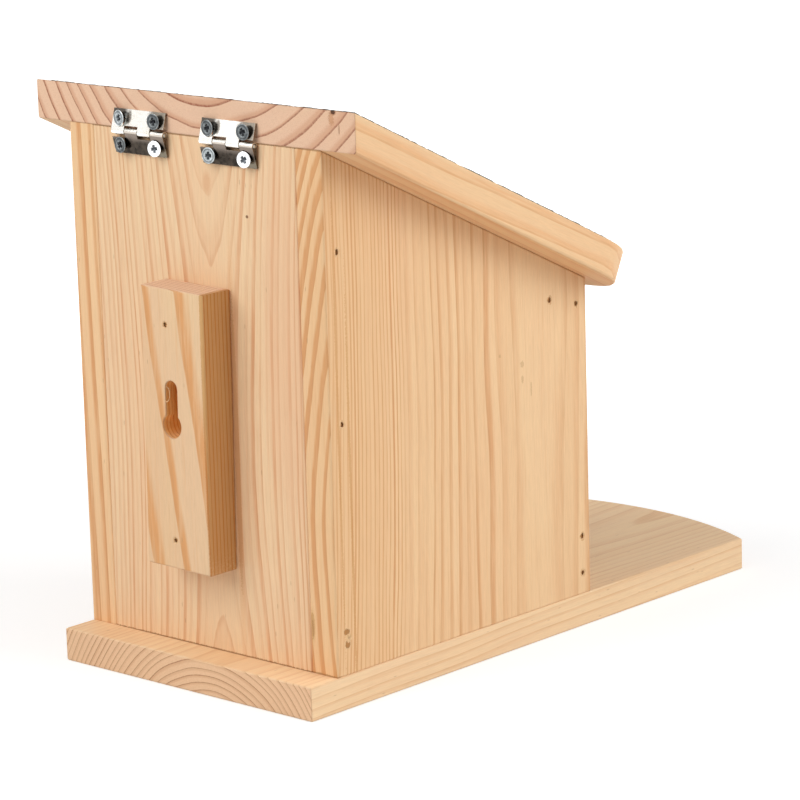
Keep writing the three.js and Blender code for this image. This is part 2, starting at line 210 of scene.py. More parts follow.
def node_group(name, inputs, outputs):
    """Starts a shader node group. Its inputs come with usual values, where three numbers are a vector and four
    are a colour, and its outputs with their kinds"""
    tree = bpy.data.node_groups.new(name, "ShaderNodeTree")
    for title, usual in inputs.items():
        kind = NUMBER if isinstance(usual, (int, float)) else VECTOR if len(usual) == 3 else COLOUR
        socket = tree.interface.new_socket(spaced(title), in_out="INPUT", socket_type=kind)
        socket.default_value = usual
    for title, kind in outputs.items():
        tree.interface.new_socket(spaced(title), in_out="OUTPUT", socket_type=kind)
    return Nodes(tree), tree.nodes.new("NodeGroupInput").outputs


def give(nodes, **results):
    """Ends a group with what it gives out"""
    given = nodes.tree.nodes.new("NodeGroupOutput").inputs
    for name, value in results.items():
        nodes.wire(given[spaced(name)], value)
    return nodes.tree


def make_log_place():
    """Turns a place on the part into a place in the log that the board was sawn from, in millimetres"""
    nodes, taken = node_group("Place in the log", dict(
        Pith=(0, 0, 0), Turn=(0, 0, 0), Lean_across=0, Lean_deep=0, Bow_across=0, Bow_deep=0, Bow_reach=500,
        Fan=0, Waviness=1,
    ), dict(Place=VECTOR, From_pith=VECTOR, End_grain=NUMBER))

    def turned(vector):
        return nodes.add("ShaderNodeVectorRotate", {"Vector": vector, "Rotation": taken["Turn"]},
                         rotation_type="EULER_XYZ").outputs[0]

    def wave(scale, detail, along, reach):
        """How far the grain wanders across the board, slowly along it"""
        drift = nodes.noise(place, scale, detail, stretch=(1, 1, along), out="Color")
        return nodes.vector("MULTIPLY", nodes.vector("SUBTRACT", drift, (0.5, 0.5, 0.5)), (reach, reach, 0))

    place = nodes.scaled(turned(nodes.vector("SUBTRACT", nodes.here(), taken["Pith"])), 1 / MM)
    axes = nodes.split(place)
    along = nodes.sum("MINIMUM", nodes.sum("ABSOLUTE", axes["Z"]), taken["Bow reach"])
    along_squared = nodes.sum("POWER", along, 2)
    deep_lean = nodes.times_plus(axes["Y"], taken["Fan"], taken["Lean deep"])
    bent = nodes.add("ShaderNodeCombineXYZ", {
        "X": nodes.times_plus(along_squared, taken["Bow across"], nodes.times(axes["Z"], taken["Lean across"])),
        "Y": nodes.times_plus(along_squared, taken["Bow deep"], nodes.times(axes["Z"], deep_lean)),
        "Z": axes["Z"],
    }).outputs[0]
    # A slow wave of the grain and a quick one
    waves = nodes.vector("ADD", wave(0.05, 1, 0.22, 9), wave(0.32, 2, 0.09, 1.1))
    from_pith = nodes.vector("ADD", nodes.vector("SUBTRACT", place, bent), nodes.scaled(waves, taken["Waviness"]))
    end = nodes.sum("ABSOLUTE", nodes.split(turned(nodes.facing()))["Z"])
    return give(nodes, Place=place, From_pith=from_pith, End_grain=nodes.spread(end, 0.6, 0.9))


def make_growth_rings():
    """Growth rings round the pith: pale early wood that darkens to late wood, with a thin line to end each year.
    Rings past the turning radius have the outer width, and flattening widens them on the -X side"""
    nodes, taken = node_group("Growth rings", dict(
        From_pith=(0, 0, 0), Width=3, Turning_radius=1000, Outer_width=2, First_ring=0, Peak=0, Unevenness=1,
        Late_share=0.3, Faintest=0.3, Middle_strength=1, Outer_strength=1, Flattening=1, Seed=0,
    ), dict(Late_wood=NUMBER, Ring_line=NUMBER, Ring_tone=NUMBER))
    axes = nodes.split(taken["From pith"])
    across = nodes.times_plus(nodes.sum("MINIMUM", axes["X"], 0), taken["Flattening"],
                              nodes.sum("MAXIMUM", axes["X"], 0))
    flat = nodes.add("ShaderNodeCombineXYZ", {"X": across, "Y": axes["Y"]}).outputs[0]
    off_middle = nodes.sum("SQRT", nodes.times_plus(across, across, 1))
    radius = nodes.times_plus(off_middle, taken["Peak"], nodes.vector("LENGTH", flat))
    inner = nodes.sum("MINIMUM", radius, taken["Turning radius"])
    outer = nodes.sum("MAXIMUM", nodes.minus(radius, taken["Turning radius"]), 0)
    count = nodes.sum("DIVIDE", nodes.minus(inner, taken["First ring"]), taken["Width"])
    count = nodes.plus(count, nodes.sum("DIVIDE", outer, taken["Outer width"]))
    years = nodes.add("ShaderNodeTexNoise", {
        "W": nodes.times_plus(radius, 0.09, taken["Seed"]), "Scale": 1, "Detail": 2,
    }, noise_dimensions="1D").outputs["Fac"]
    uneven = nodes.times(nodes.minus(years, 0.5), taken["Unevenness"])
    count = nodes.plus(nodes.plus(count, uneven), 100)  # never below 0
    season = nodes.sum("FRACT", count)
    year = nodes.plus(nodes.sum("FLOOR", count), taken["Seed"])
    luck = nodes.add("ShaderNodeTexWhiteNoise", {"W": year}, noise_dimensions="1D").outputs
    tint = nodes.split_colour(luck["Color"])
    late_share = nodes.times(taken["Late share"], nodes.ramp(tint["Green"], 0, 1, 0.6, 1.35))
    late = nodes.times(
        nodes.spread(season, nodes.minus(0.97, late_share), nodes.minus(0.97, nodes.times(late_share, 0.4))),
        nodes.spread(season, 0.955, 1, 1, 0), nodes.ramp(luck["Value"], 0, 1, taken["Faintest"], 1),
        nodes.spread(off_middle, 5, 13, taken["Middle strength"], 1),
        nodes.spread(outer, 0, 6, 1, taken["Outer strength"]))
    line = nodes.times(nodes.spread(season, 0.82, 0.94), nodes.spread(season, 0.965, 1, 1, 0),
                       nodes.ramp(tint["Red"], 0, 1, taken["Faintest"], 1))
    return give(nodes, Late_wood=late, Ring_line=line, Ring_tone=tint["Blue"])


def make_pine_surface():
    """Colour, roughness and relief of planed pine from its rings, with fibres, resin dashes and end pores"""
    nodes, taken = node_group("Pine surface", dict(
        Place=(0, 0, 0), Late_wood=0, Ring_line=0, Ring_tone=0.5, End_grain=0, Late_strength=0.85,
        Line_strength=0.6, Rosiness=0.4, Seed=0, Pale=(0.835, 0.585, 0.345, 1), Rosy=(0.8, 0.5, 0.33, 1),
        Late=(0.7, 0.37, 0.155, 1), Line=(0.5, 0.245, 0.095, 1), End_pale=(0.84, 0.555, 0.385, 1),
        End_late=(0.64, 0.335, 0.205, 1), End_line=(0.4, 0.15, 0.085, 1),
    ), dict(Color=COLOUR, Roughness=NUMBER, Height=NUMBER))
    offset = nodes.add("ShaderNodeCombineXYZ", {
        "X": nodes.times(taken["Seed"], 37), "Y": nodes.times(taken["Seed"], 11),
    }).outputs[0]
    place = nodes.vector("ADD", taken["Place"], offset)

    def grain(scale, detail, rough, along):
        return nodes.noise(place, scale, detail, rough, (1, 1, along))

    fibres = grain(3.4, 3, 0.7, 0.05)
    broken = nodes.spread(grain(0.7, 3, 0.6, 0.05), 0.32, 0.66, 0.5, 1.15)
    rosy = nodes.times(nodes.spread(grain(0.045, 2, 0.5, 0.25), 0.35, 0.7), taken["Rosiness"])
    streaks = nodes.times(nodes.spread(grain(1.1, 4, 0.65, 0.03), 0.45, 0.8), 0.3)
    body = nodes.blend(rosy, taken["Pale"], taken["Rosy"])
    body = nodes.blend(nodes.ramp(taken["Ring tone"], 0, 1, 0, 0.2), body, taken["Late"])
    body = nodes.blend(streaks, body, taken["Late"])
    late = nodes.times(taken["Late wood"], taken["Late strength"], broken)
    line = nodes.times(taken["Ring line"], taken["Line strength"], broken)
    long_grain = nodes.blend(line, nodes.blend(late, body, taken["Late"]), taken["Line"])
    dash_spot = nodes.vector("MULTIPLY", place, (0.75, 0.75, 0.14))
    dash = nodes.add("ShaderNodeTexVoronoi", {"Vector": dash_spot, "Scale": 1}).outputs
    chosen = nodes.sum("GREATER_THAN", nodes.split_colour(dash["Color"])["Red"], 0.93)
    dashes = nodes.times(nodes.spread(dash["Distance"], 0.08, 0.18, 1, 0), chosen)
    long_grain = nodes.blend(nodes.times(dashes, 0.4), long_grain, (0.36, 0.18, 0.075))
    pores = grain(2.4, 4, 0.75, 0.3)
    torn = nodes.spread(grain(1.5, 3, 0.65, 0.3), 0.35, 0.6, 0.5, 1)
    end_face = nodes.blend(nodes.spread(pores, 0.42, 0.75, 0, 0.35), taken["End pale"], taken["End late"])
    end_face = nodes.blend(nodes.times(rosy, 0.3), end_face, taken["Rosy"])
    end_face = nodes.blend(nodes.times(taken["Late wood"], 0.6), end_face, taken["End late"])
    end_face = nodes.blend(nodes.times(taken["Ring line"], torn), end_face, taken["End line"])
    base = nodes.blend(taken["End grain"], long_grain, end_face)
    rough = nodes.times_plus(taken["End grain"], 0.16, nodes.ramp(fibres, 0.2, 0.8, 0.52, 0.66))
    long_relief = nodes.minus(nodes.times(fibres, 0.6), dashes)
    end_relief = nodes.times_plus(pores, 1.4, nodes.times(taken["Ring line"], 0.3))
    return give(nodes, Color=nodes.scaled(base, nodes.ramp(fibres, 0.25, 0.75, 0.925, 1.055)),
                Roughness=nodes.minus(rough, nodes.times(late, 0.1)),
                Height=nodes.between(taken["End grain"], long_relief, end_relief))


def make_worn_edges():
    """Softens the edges, and gives a ragged mask along them"""
    nodes, taken = node_group("Worn edges", dict(Reach=0.0006, Raggedness=0.5),
                              dict(Edge=NUMBER, Normal=VECTOR))
    soft = nodes.add("ShaderNodeBevel", {"Radius": taken["Reach"]}, samples=4).outputs[0]
    plain = nodes.add("ShaderNodeNewGeometry").outputs["Normal"]
    turn = nodes.minus(1, nodes.vector("DOT_PRODUCT", soft, plain))
    ragged = nodes.spread(nodes.noise(nodes.here(), 900, 3), 0.35, 0.7)
    ragged = nodes.between(taken["Raggedness"], 1, ragged)
    return give(nodes, Edge=nodes.times(nodes.spread(turn, 0.01, 0.12), ragged), Normal=soft)


def make_flaw():
    """A ragged spot of a given reach round a place on the part: a knot, resin pocket, torn fleck, painted shadow or
    painted shade
    """
    nodes, taken = node_group("Flaw", dict(Centre=(0, 0, 0), Reach=(0.001, 0.001, 0.001), Raggedness=0.4),
                              dict(Mask=NUMBER, Rim=NUMBER))
    here = nodes.here()
    away = nodes.vector("DIVIDE", nodes.vector("SUBTRACT", here, taken["Centre"]), taken["Reach"])
    ragged = nodes.minus(nodes.noise(here, 1800, 2), 0.5)
    reach = nodes.times_plus(ragged, taken["Raggedness"], nodes.vector("LENGTH", away))
    return give(nodes, Mask=nodes.spread(reach, 0.8, 1, 1, 0), Rim=nodes.spread(reach, 0.9, 1.7, 1, 0))


def make_handled_metal():
    """Colour, roughness and relief of plated metal that has been handled: smudges, scratches, dull patches"""
    nodes, taken = node_group("Handled metal", dict(
        Bright=(0.8, 0.8, 0.8, 1), Dull=(0.3, 0.3, 0.3, 1), Dullness=0.3, Smooth=0.2, Rough=0.5, Grain=(1, 1, 1),
        Patch_size=400,
    ), dict(Color=COLOUR, Roughness=NUMBER, Height=NUMBER))
    here = nodes.here()
    patches = nodes.noise(here, taken["Patch size"], 4, 0.6)
    lines = nodes.noise(nodes.vector("MULTIPLY", here, taken["Grain"]), 1600, 3, 0.7)
    dull = nodes.spread(nodes.plus(patches, nodes.times(taken["Dullness"], 0.5)), 0.45, 0.8)
    dull = nodes.sum("MULTIPLY", dull, nodes.ramp(lines, 0.2, 0.8, 0.75, 1), clamp=True)
    rough = nodes.between(dull, taken["Smooth"], taken["Rough"])
    return give(nodes, Color=nodes.blend(dull, taken["Bright"], taken["Dull"]),
                Roughness=nodes.plus(rough, nodes.ramp(lines, 0.2, 0.8, -0.04, 0.06)),
                Height=nodes.plus(lines, nodes.times(patches, 0.6)))


GROUPS = {
    "log": make_log_place(), "rings": make_growth_rings(), "pine": make_pine_surface(),
    "edges": make_worn_edges(), "flaw": make_flaw(), "metal": make_handled_metal(),
}


# Pine

def at(x, forward, z):
    """A place in millimetres, with how far it is forward of the box's back, as a place on the part"""
    return x * MM, BACK_FACE - forward * MM, z * MM


def mark(x, forward, z, reach, tone=None, **looks):
    """A flaw or a painted shade on a board, in millimetres, with the looks that add_flaw takes"""
    return dict(centre=at(x, forward, z), reach=[size * MM for size in reach], tone=tone, **looks)


def joint_line(x, z, half_width, half_height, share, ragged):
    """The dark line in the joint that a board's end makes with the next board, at the back: its dirty, splintered
    edge with the gap's shade painted in
    """
    return mark(x, 0, z, (half_width, 2, half_height), (0.3, 0.135, 0.045), share=share, ragged=ragged)


GRAIN_BACK = (QUARTER, 0, 0)
GRAIN_ACROSS = (0, -QUARTER, 0)
GRAIN_DOWN_ROOF = (QUARTER - ROOF_PITCH, 0, 0)
WARM = dict(Pale=(0.9, 0.618, 0.352), Rosy=(0.875, 0.55, 0.31))
ORANGE = dict(Late=(0.7, 0.34, 0.14), Line=(0.56, 0.25, 0.095))
TORN_FLECK = dict(tone=(0.36, 0.15, 0.035), rim=(0.84, 0.58, 0.34), rim_share=0.4, share=1, ragged=1.5)
RESIN_STREAK = dict(tone=(0.6, 0.27, 0.07), ragged=1.4, sunk=0)

# Faint grey-brown smudges on the left side, in mm: (forward of the back, height, half width, half height)
SMUDGES = ((98.7, 102.7, 1, 1.3), (98.8, 97.3, 0.7, 1.5), (86.9, 107.7, 0.6, 0.7), (103.4, 93.2, 0.4, 3.2))

# Each board is cut from its own place in a log: where its pith lies, how its rings grow, the colours of its
# surface, its marks and, on the back board and the block, painted shade. The grain runs up where nothing turns it
BOARDS = {
    "floor_board": dict(
        log=dict(Pith=at(-12, 100, -29), Turn=GRAIN_BACK, Lean_deep=0.02, Waviness=0.2),
        rings=dict(Width=2.55, Turning_radius=52, Outer_width=2.1, First_ring=0.6, Seed=3.1,
                   Late_share=0.45, Faintest=0.5),
        surface=dict(Rosiness=0.2, Seed=1.3, Pale=(0.945, 0.69, 0.425), Late=(0.81, 0.485, 0.245),
                     Line=(0.69, 0.375, 0.175), Late_strength=0.6, Line_strength=0.4,
                     End_pale=(0.875, 0.58, 0.355), End_late=(0.64, 0.345, 0.18), End_line=(0.36, 0.125, 0.05))),
    "back_board": dict(
        log=dict(Pith=at(-7, 35, 97), Bow_deep=0.0005, Lean_deep=0.015, Waviness=0.3),
        rings=dict(Width=2, First_ring=33.77, Peak=0.12, Seed=7.7, Unevenness=0.7, Late_share=0.5,
                   Faintest=0.15, Middle_strength=0.3),
        surface=dict(Rosiness=0.25, Seed=2.1, Pale=(0.89, 0.645, 0.395), Rosy=(0.85, 0.54, 0.33),
                     Late=(0.72, 0.37, 0.185), Line=(0.64, 0.295, 0.135), Late_strength=0.95, Line_strength=0.35),
        flaws_and_painted_shade=[joint_line(0, 191.8, 70, 0.3, 0.7, 1.4),
               mark(-25, 0, 166.6, (0.7, 2, 0.6), (0.2, 0.08, 0.03)),
               mark(-41, 0, 125, (7.5, 10, 45), rim=(0.82, 0.46, 0.27), rim_share=0.32, sunk=0),
               mark(-6.5, 0, 176.5, (1.6, 10, 3), (0.7, 0.36, 0.18), rim=(0.72, 0.38, 0.19),
                    rim_share=0.35, share=0.25, sunk=0),
               # A painted shadow of the hanging block, along its -X side
               mark(-16, 0, 86, (1.3, 2, 56), (0.62, 0.3, 0.12), rim=(0.8, 0.47, 0.24),
                    rim_share=0.5, share=0.55, ragged=0.6, sunk=0),
               joint_line(0, 12.2, 70, 0.36, 0.7, 2.2)]),
    "left_side": dict(
        log=dict(Pith=at(-18, 108, 100), Fan=-0.0003, Bow_deep=0.0002, Lean_across=-0.008, Waviness=0.36),
        rings=dict(Width=3.3, Turning_radius=81, Outer_width=1.7, First_ring=1.5, Seed=5.2, Unevenness=0.8,
                   Late_share=0.45, Faintest=0.3, Outer_strength=2.5),
        surface=dict(Rosiness=0.3, Seed=3.7, Late_strength=0.7, Line_strength=0.3, **WARM, **ORANGE),
        rear=(dict(Pith=at(200, 0, 52), Bow_across=-0.00135, Bow_reach=150, Waviness=0.8),
              dict(Width=4.6, Seed=2.4, Unevenness=0.35, Late_share=0.6, Faintest=0.95)),
        flaws_and_painted_shade=[mark(-48.9, 0, 28.7, (1.1, 3, 5.2), (0.56, 0.31, 0.12), rim=(0.74, 0.46, 0.21),
                    rim_share=0.5, share=0.75, ragged=0.8),
               mark(-49.1, 0, 28, (0.3, 3, 3.6), (0.34, 0.16, 0.055), share=0.5, ragged=0.9),
               joint_line(-56, 12.3, 12, 0.34, 0.6, 1.8),
               joint_line(-56, 191.8, 12, 0.3, 0.6, 1.4),
               mark(LEFT_FACE, 5.3, 22.9, (3, 1.3, 1.6), **TORN_FLECK),
               mark(LEFT_FACE, 4.9, 27.3, (3, 1.6, 1.1), **TORN_FLECK),
               mark(LEFT_FACE, 12, 90, (10, 13, 300), rim=(0.74, 0.42, 0.18), rim_share=0.22, sunk=0),
               mark(LEFT_FACE, 4.1, 105, (3, 0.55, 90), share=0.5, **RESIN_STREAK),
               mark(LEFT_FACE, 9.2, 70, (3, 0.6, 80), share=0.55, **RESIN_STREAK),
               *(mark(LEFT_FACE, forward, up, (3, wide, tall), (0.5, 0.28, 0.12),
                      share=0.4, ragged=1.4, sunk=0) for forward, up, wide, tall in SMUDGES)]),
    "right_side": dict(
        log=dict(Pith=at(85, 40, 120), Lean_across=0.02, Waviness=0.22),
        rings=dict(Width=3.03, First_ring=2.9, Seed=9.4, Unevenness=0.2, Late_share=0.6, Faintest=0.7),
        surface=dict(Rosiness=0.3, Seed=4.9, Late_strength=1.1, Line_strength=0.2, **WARM, **ORANGE)),
    "front_sill": dict(
        log=dict(Pith=at(0, 110, 70), Turn=GRAIN_ACROSS, Lean_across=0.02, Waviness=0.5),
        rings=dict(Width=2.6, Seed=2.6, Late_share=0.45),
        surface=dict(Seed=5.5, **WARM, **ORANGE)),
    "top_rail": dict(
        log=dict(Pith=at(0, 150, 90), Turn=GRAIN_ACROSS, Lean_across=-0.02, Waviness=0.5),
        rings=dict(Width=2.3, Seed=6.3, Late_share=0.45),
        surface=dict(Seed=6.8, **WARM, **ORANGE)),
    "roof_board": dict(
        log=dict(Pith=at(-3, 0, 247.5), Turn=GRAIN_DOWN_ROOF, Lean_deep=0.02, Waviness=0.3),
        rings=dict(Width=6.5, Turning_radius=56, Outer_width=5.1, First_ring=41, Flattening=0.75, Seed=8.5,
                   Unevenness=0.4, Late_share=0.42, Faintest=0.75),
        surface=dict(Rosiness=0.35, Seed=7.2, End_pale=(0.835, 0.562, 0.388), End_late=(0.6, 0.275, 0.15),
                     End_line=(0.3, 0.09, 0.045), Late=(0.82, 0.45, 0.215), Line=(0.7, 0.35, 0.15), **WARM),
        flaws_and_painted_shade=[mark(-65.1, 0, 202.9, (1.1, 3, 2.1), (0.5, 0.2, 0.075), rim=(0.66, 0.33, 0.16),
                    rim_share=0.3, share=0.4, ragged=2.4),
               mark(-66, 0, 205.1, (1, 3, 0.8), (0.06, 0.022, 0.01), rim=(0.42, 0.17, 0.07), rim_share=0.7),
               mark(-68.5, 0, 199.6, (0.3, 3, 1.9), (0.34, 0.14, 0.07), share=0.6, ragged=0.9)]),
    "hanging_block": dict(
        log=dict(Pith=at(-221.5, 2000, 92), Lean_across=0.16, Waviness=0.1),
        rings=dict(Width=1.7, Turning_radius=5000, First_ring=2026.3, Seed=4.4, Unevenness=0.05, Late_share=0.38,
                   Faintest=0.9),
        surface=dict(Rosiness=0.3, Seed=8.1, Late_strength=1.1, Line_strength=0.25, Pale=(0.835, 0.595, 0.352),
                     Late=(0.735, 0.36, 0.14), Line=(0.56, 0.255, 0.09), End_pale=(0.8, 0.55, 0.375)),
        # The block's -X side in a painted warm shade, since the side light doesn't reach it; the grain shows
        # through
        flaws_and_painted_shade=[mark(-16.5, -6.7, 92, (3, 40, 140), (0.76, 0.61, 0.4), share=1, ragged=0.2, sunk=0,
                    stain=True)]),
}
REAR_EDGE_BOLDNESS = 2.3  # how much darker the late wood of a rear edge is

# The keyhole's middle in the hanging block and its reach, which is a circle once its height is squashed
KEYHOLE_X, KEYHOLE_Z = 0.0013, 0.0992
KEYHOLE_REACH = 0.0078
KEYHOLE_SQUASH = 0.62
KEYHOLE_FADE = 0.0008  # how deep under the block's face its wood has browned in full


def new_material(name):
    material = bpy.data.materials.new(name)
    material.use_nodes = True
    material.node_tree.nodes.clear()
    return material, Nodes(material.node_tree)


def finish_surface(nodes, tone, rough, height, relief=0.00005, normal=None, **sockets):
    """The surface shader with its bump; sockets are plain values for its other inputs"""
    bump = nodes.add("ShaderNodeBump", {"Height": height, "Strength": 1, "Distance": relief})
    if normal is not None:
        nodes.wire(bump.inputs["Normal"], normal)
    surface = nodes.add("ShaderNodeBsdfPrincipled", {
        "Base Color": tone, "Roughness": rough, "Normal": bump.outputs[0],
    })
    for name, value in sockets.items():
        surface.inputs[spaced(name)].default_value = value
    nodes.add("ShaderNodeOutputMaterial", {"Surface": surface.outputs[0]})


def add_flaw(nodes, surface, height, centre, reach, tone=None, share=0.9, rim=None, rim_share=0, ragged=0.4,
             sunk=2, stain=False):
    """Marks the surface with a flaw: its soft rim, its own tone, or a painted shade multiplied over it that lets
    the grain show, and how far it is sunk"""
    spot = nodes.place("flaw", Centre=centre, Reach=reach, Raggedness=ragged)
    if rim:
        surface = nodes.blend(nodes.times(spot["Rim"], rim_share), surface, rim)
    if tone:
        marked = nodes.blend(1, surface, tone, "MULTIPLY") if stain else tone
        surface = nodes.blend(nodes.times(spot["Mask"], share), surface, marked)
    if sunk:
        height = nodes.minus(height, nodes.times(spot["Mask"], sunk))
    return surface, height


def brown_keyhole(nodes, surface):
    """Browns the wood in the keyhole as the cutter left it, its walls more than its floor"""
    here = nodes.here()
    inside = nodes.spread(nodes.split(here)["Y"], BLOCK_FACE - KEYHOLE_FADE, BLOCK_FACE - KEYHOLE_FADE / 4, 1, 0)
    on_floor = nodes.spread(nodes.split(nodes.facing())["Y"], 0.3, 0.7)
    browned = nodes.blend(on_floor, (1.14, 0.98, 0.62), (1.04, 0.93, 0.7))
    away = nodes.vector("DISTANCE", nodes.vector("MULTIPLY", here, (1, 0, KEYHOLE_SQUASH)),
                        (KEYHOLE_X, 0, KEYHOLE_Z * KEYHOLE_SQUASH))
    near = nodes.spread(away, KEYHOLE_REACH, KEYHOLE_REACH * 1.15, 1, 0)
    return nodes.blend(nodes.times(inside, near), surface, nodes.blend(1, surface, browned, "MULTIPLY"))


def make_pine(board, log, rings, surface, flaws_and_painted_shade=(), rear=None):
    """Planed pine for one board; rear gives the curly rings, as (log, rings), that its rear edge shows"""
    material, nodes = new_material(f"pine_{board}")

    def grown(log, rings):
        place = nodes.place("log", **log)
        season = nodes.place("rings", From_pith=place["From pith"], **rings)
        return place, {title: season[title] for title in ("Late wood", "Ring line", "Ring tone")}

    place, season = grown(log, rings)
    if rear:
        curly = grown(*rear)[1]
        curly["Late wood"] = nodes.times(curly["Late wood"], REAR_EDGE_BOLDNESS)
        on_rear = nodes.spread(nodes.split(nodes.facing())["Y"], 0.45, 0.75)
        season = {title: nodes.between(on_rear, plain, curly[title]) for title, plain in season.items()}
    pine = nodes.place("pine", Place=place["Place"], End_grain=place["End grain"], **season, **surface)
    edges = nodes.place("edges", Reach=0.0007, Raggedness=0.8)
    tone = nodes.blend(nodes.times(edges["Edge"], 0.16), pine["Color"], (0.6, 0.34, 0.16))
    height = pine["Height"]
    for flaw in flaws_and_painted_shade:
        tone, height = add_flaw(nodes, tone, height, **flaw)
    if board == "hanging_block":
        tone = brown_keyhole(nodes, tone)
    finish_surface(nodes, tone, pine["Roughness"], height, normal=edges["Normal"], Specular_IOR_Level=0.3)
    return material


# Metal, felt and the pane

def make_metal(name, relief, edge=None, shaded=None, halos=(), rise=(), **metal):
    """Plated metal. Edge and shaded are the tones along its edges and where a piece's own painted shade runs low;
    halos lists soft spots as (centre, reach, tone, share), and rise lists (z, z, tone) up the piece"""
    material, nodes = new_material(name)
    handled = nodes.place("metal", **metal)
    edges = nodes.place("edges", Reach=0.0002, Raggedness=0.4)
    tone = handled["Color"]
    if rise:
        height = nodes.split(nodes.here())["Z"]
        for low, high, band in rise:
            tone = nodes.blend(nodes.spread(height, low, high), tone, band)
    for centre, reach, halo, share in halos:
        spot = nodes.place("flaw", Centre=centre, Reach=reach, Raggedness=0.5)
        tone = nodes.blend(nodes.times(spot["Rim"], share), tone, halo)
    if shaded:
        shade = nodes.add("ShaderNodeAttribute", attribute_name="shade").outputs["Fac"]
        tone = nodes.blend(nodes.ramp(shade, 0, 1, 1, 0), tone, shaded)
    if edge:
        tone = nodes.blend(edges["Edge"], tone, edge)
    finish_surface(nodes, tone, handled["Roughness"], handled["Height"], relief, edges["Normal"], Metallic=1)
    return material


def make_leaf_nickel(node):
    """Nickel for one hinge leaf, its reflections painted into its colour: the upper ones painted bright, the lower
    ones painted dark for the dark ground they face, but for a painted highlight on their knuckles
    """
    low, high = (Vector(corner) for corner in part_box(node))
    middle = (low.x + high.x) / 2

    def halo(across, z, wide, tall, tone, share):
        """A soft spot on the leaf's rear face, by how far it is off the leaf's middle"""
        return (middle + across, low.y, z), (wide, 0.006, tall), tone, share

    leaf = dict(relief=0.000012, Smooth=0.14, Grain=(0.15, 1, 1))
    if "upper" in node:
        screws = low.z + KNUCKLE_RADIUS + SCREW_REACH
        return make_metal(
            f"nickel_{node}", Bright=(0.93, 0.9, 0.84), Dull=(0.6, 0.54, 0.46), Dullness=0.02, Rough=0.3,
            Patch_size=170, edge=(0.5, 0.44, 0.36), **leaf,
            # Darker spots round the -X and +X screws, and a narrow painted shadow that the +X screw casts on its -X
            # side
            halos=[halo(-0.0098, screws + 0.0006, 0.0038, 0.0036, (0.2, 0.165, 0.125), 0.9),
                   halo(0.0098, screws + 0.0022, 0.003, 0.002, (0.07, 0.055, 0.042), 0.95),
                   halo(0.0046, screws + 0.0004, 0.0009, 0.0018, (0.14, 0.115, 0.09), 0.8)])
    pin = high.z - KNUCKLE_RADIUS
    return make_metal(
        f"nickel_{node}", Bright=(0.06, 0.047, 0.036), Dull=(0.01, 0.008, 0.006), Dullness=0.25, Rough=0.36,
        Patch_size=330, edge=(0.3, 0.25, 0.2), **leaf,
        # Painted reflection that lightens up the leaf to a painted highlight along its knuckles
        rise=[(pin - 0.004, pin - 0.001, (0.19, 0.155, 0.13)), (pin - 0.0006, pin + 0.0002, (0.62, 0.56, 0.49)),
              (pin + 0.0001, pin + 0.0006, (0.93, 0.89, 0.83))],
        # A lighter painted reflection at the leaf's -X end
        halos=[halo(-0.0115, low.z, 0.0022, 0.0022, (0.22, 0.19, 0.14), 0.7)])


# The metals of the small turned pieces. The screws' bright, plain and dark zinc are painted reflections of how much
# of the studio each one catches by how it leans
ZINC = dict(relief=0.00002, Smooth=0.22, Rough=0.42, Patch_size=600)
METALS = {
    "nickel_pin": dict(
        Bright=(0.62, 0.58, 0.5), Dull=(0.2, 0.17, 0.13), Dullness=0.35, Smooth=0.2, Rough=0.4, Patch_size=500,
        relief=0.00001, edge=(0.75, 0.7, 0.62)),
    "zinc_dark_screw": dict(
        Bright=(0.23, 0.25, 0.255), Dull=(0.075, 0.083, 0.087), Dullness=0.3, edge=(0.8, 0.84, 0.85),
        shaded=(0.014, 0.015, 0.017), **ZINC),
    "zinc_screw": dict(
        Bright=(0.54, 0.585, 0.6), Dull=(0.22, 0.245, 0.255), Dullness=0.25, edge=(0.76, 0.81, 0.83),
        shaded=(0.03, 0.034, 0.038), **ZINC),
    "zinc_bright_screw": dict(
        Bright=(0.97, 0.98, 0.99), Dull=(0.75, 0.79, 0.82), Dullness=0.02, edge=(0.97, 0.98, 0.98),
        shaded=(0.055, 0.062, 0.07), **ZINC),
    "galvanised_tack": dict(
        Bright=(0.5, 0.51, 0.51), Dull=(0.24, 0.24, 0.23), Dullness=0.5, Smooth=0.4, Rough=0.65, Patch_size=500,
        relief=0.00004, edge=(0.62, 0.63, 0.63), shaded=(0.1, 0.1, 0.095)),
    # Rusty steel, painted lighter to lift the shade in the nails' sunk holes
    "nail_steel": dict(
        Bright=(0.78, 0.45, 0.19), Dull=(0.42, 0.21, 0.08), Dullness=0.5, Smooth=0.5, Rough=0.8, Patch_size=900,
        relief=0.00004, shaded=(0.26, 0.12, 0.045)),
}


